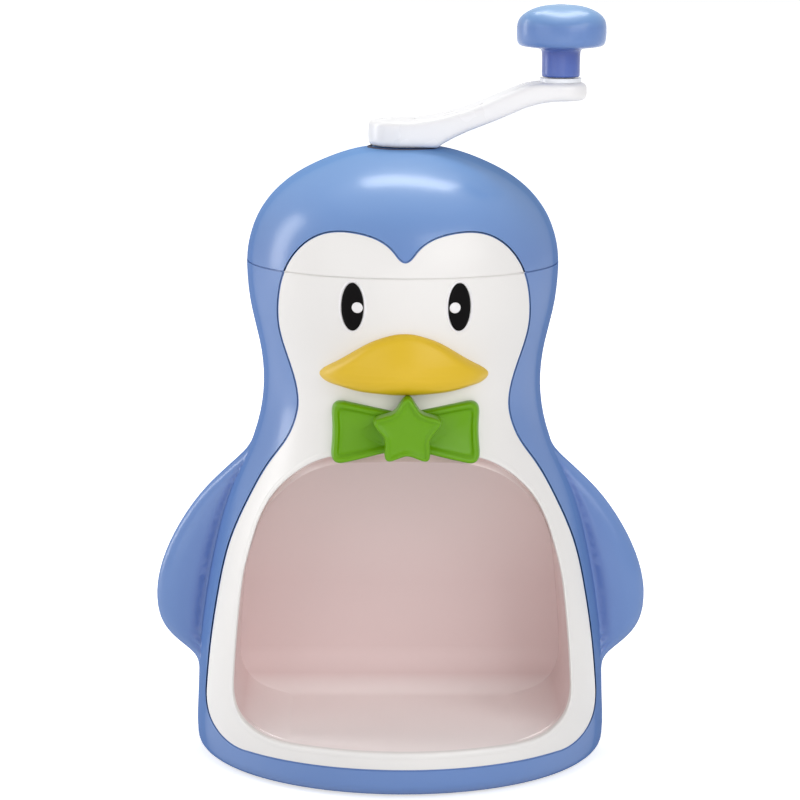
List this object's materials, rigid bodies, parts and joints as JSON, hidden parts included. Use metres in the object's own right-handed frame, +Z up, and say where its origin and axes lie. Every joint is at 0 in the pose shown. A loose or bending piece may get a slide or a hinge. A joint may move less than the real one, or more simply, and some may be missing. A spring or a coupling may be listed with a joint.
{
  "type": "hand cranked ice shaver",
  "caption": "Table-top hand cranked ice shaver in the shape of a penguin, with a lift-off head, an offset crank with a knob and an open bay under the blade.",
  "frame": {"origin": "centre of the footprint on the surface it stands on, under the axis of the turned body", "axes": "+Z up along the crank shaft, -Y is the front with the face and the bay, +X is the side the crank points to at rest"},
  "size_m": [0.1912, 0.1596, 0.2903],
  "materials": {
    "shell_blue": "moulded ABS, soft gloss, cool blue",
    "face_white": "moulded ABS, soft gloss, warm white",
    "bay_white": "moulded plastic, satin, pale warm grey-pink",
    "beak_yellow": "moulded ABS, gloss, golden yellow",
    "bow_green": "moulded ABS, satin gloss, leaf green",
    "eye_black": "moulded plastic, high gloss, black",
    "glint_white": "printed plastic inlay, gloss, white",
    "arm_white": "moulded plastic, gloss, cool white",
    "knob_blue": "moulded plastic, soft gloss, cool blue",
    "collar_clear": "moulded plastic, gloss, milky white",
    "inner_white": "moulded polypropylene, satin, natural white",
    "ice_clear": "moulded SAN, gloss, milky clear",
    "steel": "stainless steel, brushed",
    "spring_steel": "stainless spring wire, drawn",
    "screw_steel": "zinc plated steel, satin",
    "rubber_grey": "moulded rubber, matt, dark grey"
  },
  "bodies": {
    "body": {"body_front_shell": "shell_blue", "body_rear_shell": "shell_blue", "shell_screws": "screw_steel", "front_panel": "face_white", "bay_liner": "bay_white", "base_plate": "inner_white", "base_screws": "screw_steel", "rubber_feet": "rubber_grey", "ice_chamber": "ice_clear", "blade_plate": "inner_white", "blade": "steel", "blade_screws": "screw_steel", "chamber_screws": "screw_steel", "beak": "beak_yellow", "bow_tie": "bow_green", "bow_star": "bow_green", "eye_left": "eye_black", "eye_right": "eye_black", "eye_glints": "glint_white"},
    "head": {"head_dome": "shell_blue", "brow_panel": "face_white", "head_inner": "inner_white", "head_screws": "screw_steel", "shaft_bush": "inner_white", "spring_washer": "screw_steel"},
    "crank": {"drive_shaft": "steel", "crank_arm": "arm_white", "crank_screw": "screw_steel", "crank_cap": "arm_white", "knob_collar": "collar_clear", "knob_spindle": "inner_white", "knob_screw": "screw_steel", "press_spring": "spring_steel", "shaft_end_washer": "screw_steel", "shaft_end_screw": "screw_steel"},
    "press": {"ice_press": "inner_white", "press_spikes": "steel"},
    "knob": {"knob": "knob_blue", "knob_cap": "knob_blue"}
  },
  "joints": [
    {"name": "head_lift", "type": "slide", "parent": "body", "child": "head", "axis": [0, 0, 1], "range_m": [0, 0.1]},
    {"name": "crank_turn", "type": "hinge", "parent": "head", "child": "crank", "pos_m": [0, 0, 0.236], "axis": [0, 0, 1], "continuous": true},
    {"name": "press_slide", "type": "slide", "parent": "crank", "child": "press", "axis": [0, 0, 1], "range_m": [0, 0.05], "stiffness_N_per_m": 60, "springref_m": -0.02, "deforming": ["press_spring"]},
    {"name": "knob_spin", "type": "hinge", "parent": "crank", "child": "knob", "pos_m": [0.06, 0, 0.27], "axis": [0, 0, 1], "continuous": true}
  ]
}
